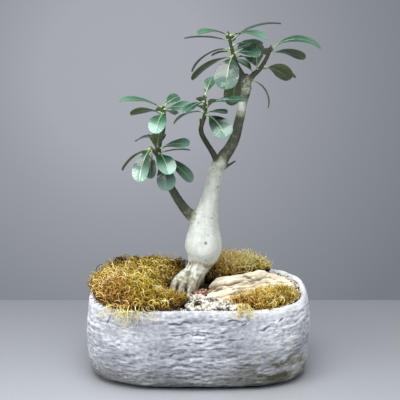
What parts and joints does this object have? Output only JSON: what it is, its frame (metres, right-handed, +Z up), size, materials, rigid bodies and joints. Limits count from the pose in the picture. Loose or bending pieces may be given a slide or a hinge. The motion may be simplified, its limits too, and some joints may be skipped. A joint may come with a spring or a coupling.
{
  "type": "potted desert rose",
  "caption": "Bonsai desert rose with a swollen caudex and leafy shoots, planted in an oblong rough stone trough with moss, gravel and a rock.",
  "frame": {"origin": "centre of the trough's flat base, where it rests on a table", "axes": "+Z up; +X along the trough's length, to the right seen from the front; -Y is the front"},
  "size_m": [0.3125, 0.1798, 0.4658],
  "materials": {
    "cast_stone": "rough hand-laid cast stone with wavy horizontal strata",
    "potting_mix": "dark crumbly potting mix",
    "bark": "smooth pale bark, brown-grey on the young stems",
    "leaf": "glossy dark green leaf with a pale midrib",
    "moss": "dry golden moss in curly strands",
    "limestone": "craggy cream stone",
    "pumice_gravel": "white and black chips",
    "lava": "porous red-brown stone"
  },
  "bodies": {
    "root": {"caudex_trunk": "bark", "gravel": "pumice_gravel", "lava_clump": "lava", "leaf_crown_01": "leaf", "leaf_crown_02": "leaf", "leaf_crown_03": "leaf", "leaf_crown_04": "leaf", "leaf_crown_05": "leaf", "leaf_crown_06": "leaf", "leaf_crown_07": "leaf", "leaf_crown_08": "leaf", "leaf_crown_09": "leaf", "leaf_crown_10": "leaf", "leaf_crown_11": "leaf", "leaf_crown_12": "leaf", "leaf_crown_13": "leaf", "leaf_crown_14": "leaf", "leaf_crown_15": "leaf", "leaf_crown_16": "leaf", "leaf_crown_17": "leaf", "leaf_crown_18": "leaf", "leaf_crown_19": "leaf", "leaf_crown_20": "leaf", "leaf_crown_21": "leaf", "leaf_crown_22": "leaf", "leaf_left_01": "leaf", "leaf_left_02": "leaf", "leaf_left_03": "leaf", "leaf_left_04": "leaf", "leaf_left_05": "leaf", "leaf_left_06": "leaf", "leaf_left_07": "leaf", "leaf_left_08": "leaf", "leaf_left_09": "leaf", "leaf_left_10": "leaf", "leaf_left_11": "leaf", "leaf_left_12": "leaf", "leaf_left_13": "leaf", "leaf_left_14": "leaf", "leaf_left_15": "leaf", "leaf_left_16": "leaf", "leaf_left_17": "leaf", "leaf_left_18": "leaf", "leaf_middle_01": "leaf", "leaf_middle_02": "leaf", "leaf_middle_03": "leaf", "leaf_middle_04": "leaf", "leaf_middle_05": "leaf", "leaf_middle_06": "leaf", "leaf_middle_07": "leaf", "leaf_middle_08": "leaf", "leaf_middle_09": "leaf", "moss_back": "moss", "moss_front": "moss", "moss_left": "moss", "potting_mix": "potting_mix", "rock": "limestone", "trough": "cast_stone"}
  },
  "joints": []
}
